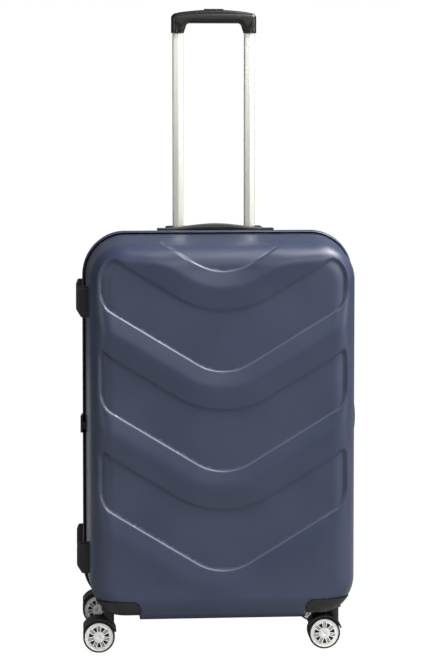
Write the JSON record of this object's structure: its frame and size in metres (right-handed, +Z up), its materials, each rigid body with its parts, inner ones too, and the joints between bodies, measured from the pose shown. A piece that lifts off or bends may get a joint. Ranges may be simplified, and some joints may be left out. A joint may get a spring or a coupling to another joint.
{
  "type": "hard shell suitcase on wheels",
  "caption": "Upright hard shell suitcase with chevron ribbed halves on a side hinge, a telescopic trolley handle, carry handles, a dial lock and swivelling twin wheels.",
  "frame": {"origin": "on the floor under the middle of the case, at the bottom centre of its bounding box", "axes": "+X to the right seen from the lid side, +Y from the lid to the back, +Z up"},
  "size_m": [0.5155, 0.3, 1.1416],
  "materials": {
    "shell": "satin",
    "lining": "woven",
    "zip_tape": "woven",
    "webbing": "woven",
    "black_plastic": "fine grain",
    "grip_plastic": "satin",
    "tube": "satin anodised",
    "rim": "satin silver",
    "tyre": "matt",
    "steel": "bright",
    "zip_metal": "dark nickel",
    "dial": "satin"
  },
  "bodies": {
    "case": {"rear_shell": "shell", "rear_lining": "lining", "zip_tape_rear": "zip_tape", "trolley_outer_tubes": "tube", "trolley_bezel": "black_plastic", "trolley_base": "black_plastic", "top_handle_mounts": "black_plastic", "side_handle_mounts": "black_plastic", "lock_housing": "black_plastic", "hinge_leaf_case": "black_plastic", "hinge_pin": "steel", "rear_feet": "black_plastic", "foot_screws": "steel", "wheel_housings_rear": "black_plastic", "packing_straps": "webbing", "strap_buckles": "black_plastic"},
    "lid": {"lid_shell": "shell", "lid_lining": "lining", "lid_divider": "lining", "zip_tape_lid": "zip_tape", "hinge_leaf_lid": "black_plastic", "lid_feet": "black_plastic", "wheel_housings_front": "black_plastic"},
    "trolley": {"trolley_inner_tubes": "tube", "grip_body": "grip_plastic", "grip_cover": "grip_plastic"},
    "trolley_release": {"trolley_button": "black_plastic", "release_rods": "steel"},
    "top_handle": {"top_handle": "grip_plastic"},
    "side_handle": {"side_handle": "grip_plastic"},
    "lock_dial_1": {"lock_dial_1": "dial"},
    "lock_dial_2": {"lock_dial_2": "dial"},
    "lock_dial_3": {"lock_dial_3": "dial"},
    "lock_button": {"lock_button": "zip_metal"},
    "zip_slider_upper": {"zip_slider_upper": "zip_metal"},
    "zip_slider_lower": {"zip_slider_lower": "zip_metal"},
    "caster_front_left": {"caster_fork_front_left": "black_plastic", "caster_axle_front_left": "steel"},
    "wheel_front_left_a": {"rim_front_left_a": "rim", "tyre_front_left_a": "tyre"},
    "wheel_front_left_b": {"rim_front_left_b": "rim", "tyre_front_left_b": "tyre"},
    "caster_front_right": {"caster_fork_front_right": "black_plastic", "caster_axle_front_right": "steel"},
    "wheel_front_right_a": {"rim_front_right_a": "rim", "tyre_front_right_a": "tyre"},
    "wheel_front_right_b": {"rim_front_right_b": "rim", "tyre_front_right_b": "tyre"},
    "caster_rear_left": {"caster_fork_rear_left": "black_plastic", "caster_axle_rear_left": "steel"},
    "wheel_rear_left_a": {"rim_rear_left_a": "rim", "tyre_rear_left_a": "tyre"},
    "wheel_rear_left_b": {"rim_rear_left_b": "rim", "tyre_rear_left_b": "tyre"},
    "caster_rear_right": {"caster_fork_rear_right": "black_plastic", "caster_axle_rear_right": "steel"},
    "wheel_rear_right_a": {"rim_rear_right_a": "rim", "tyre_rear_right_a": "tyre"},
    "wheel_rear_right_b": {"rim_rear_right_b": "rim", "tyre_rear_right_b": "tyre"}
  },
  "joints": [
    {"name": "lid_hinge", "type": "hinge", "parent": "case", "child": "lid", "pos_m": [-0.246, -0.002, 0.389], "axis": [0, 0, -1], "range_deg": [0, 150]},
    {"name": "trolley_slide", "type": "slide", "parent": "case", "child": "trolley", "axis": [0, 0, 1], "range_m": [-0.3755, 0]},
    {"name": "trolley_button_press", "type": "slide", "parent": "trolley", "child": "trolley_release", "axis": [0, 0, -1], "range_m": [0, 0.004], "stiffness_N_per_m": 600, "springref_m": -0.006},
    {"name": "top_handle_lift", "type": "slide", "parent": "case", "child": "top_handle", "axis": [0, 0, 1], "range_m": [0, 0.01]},
    {"name": "side_handle_pull", "type": "slide", "parent": "case", "child": "side_handle", "axis": [1, 0, 0], "range_m": [0, 0.01]},
    {"name": "lock_button_press", "type": "slide", "parent": "case", "child": "lock_button", "axis": [-1, 0, 0], "range_m": [0, 0.0015], "stiffness_N_per_m": 300, "springref_m": -0.002},
    {"name": "zip_slider_upper_slide", "type": "slide", "parent": "case", "child": "zip_slider_upper", "axis": [0, 0, 1], "range_m": [0, 0.018]},
    {"name": "zip_slider_lower_slide", "type": "slide", "parent": "case", "child": "zip_slider_lower", "axis": [0, 0, 1], "range_m": [-0.43, 0]},
    {"name": "lock_dial_1_turn", "type": "hinge", "parent": "case", "child": "lock_dial_1", "pos_m": [0.244, 0.017, 0.62], "axis": [0, 0, 1], "continuous": true},
    {"name": "lock_dial_2_turn", "type": "hinge", "parent": "case", "child": "lock_dial_2", "pos_m": [0.244, 0.017, 0.613], "axis": [0, 0, 1], "continuous": true},
    {"name": "lock_dial_3_turn", "type": "hinge", "parent": "case", "child": "lock_dial_3", "pos_m": [0.244, 0.017, 0.606], "axis": [0, 0, 1], "continuous": true},
    {"name": "caster_front_left_swivel", "type": "hinge", "parent": "lid", "child": "caster_front_left", "pos_m": [-0.2, -0.095, 0.05], "axis": [0, 0, 1], "continuous": true},
    {"name": "wheel_front_left_a_spin", "type": "hinge", "parent": "caster_front_left", "child": "wheel_front_left_a", "pos_m": [-0.218, -0.095, 0.028], "axis": [0, 1, 0], "continuous": true},
    {"name": "wheel_front_left_b_spin", "type": "hinge", "parent": "caster_front_left", "child": "wheel_front_left_b", "pos_m": [-0.218, -0.095, 0.028], "axis": [0, 1, 0], "continuous": true},
    {"name": "caster_front_right_swivel", "type": "hinge", "parent": "lid", "child": "caster_front_right", "pos_m": [0.2, -0.095, 0.05], "axis": [0, 0, 1], "continuous": true},
    {"name": "wheel_front_right_a_spin", "type": "hinge", "parent": "caster_front_right", "child": "wheel_front_right_a", "pos_m": [0.182, -0.095, 0.028], "axis": [0, 1, 0], "continuous": true},
    {"name": "wheel_front_right_b_spin", "type": "hinge", "parent": "caster_front_right", "child": "wheel_front_right_b", "pos_m": [0.182, -0.095, 0.028], "axis": [0, 1, 0], "continuous": true},
    {"name": "caster_rear_left_swivel", "type": "hinge", "parent": "case", "child": "caster_rear_left", "pos_m": [-0.2, 0.095, 0.05], "axis": [0, 0, 1], "continuous": true},
    {"name": "wheel_rear_left_a_spin", "type": "hinge", "parent": "caster_rear_left", "child": "wheel_rear_left_a", "pos_m": [-0.218, 0.095, 0.028], "axis": [0, 1, 0], "continuous": true},
    {"name": "wheel_rear_left_b_spin", "type": "hinge", "parent": "caster_rear_left", "child": "wheel_rear_left_b", "pos_m": [-0.218, 0.095, 0.028], "axis": [0, 1, 0], "continuous": true},
    {"name": "caster_rear_right_swivel", "type": "hinge", "parent": "case", "child": "caster_rear_right", "pos_m": [0.2, 0.095, 0.05], "axis": [0, 0, 1], "continuous": true},
    {"name": "wheel_rear_right_a_spin", "type": "hinge", "parent": "caster_rear_right", "child": "wheel_rear_right_a", "pos_m": [0.182, 0.095, 0.028], "axis": [0, 1, 0], "continuous": true},
    {"name": "wheel_rear_right_b_spin", "type": "hinge", "parent": "caster_rear_right", "child": "wheel_rear_right_b", "pos_m": [0.182, 0.095, 0.028], "axis": [0, 1, 0], "continuous": true}
  ]
}
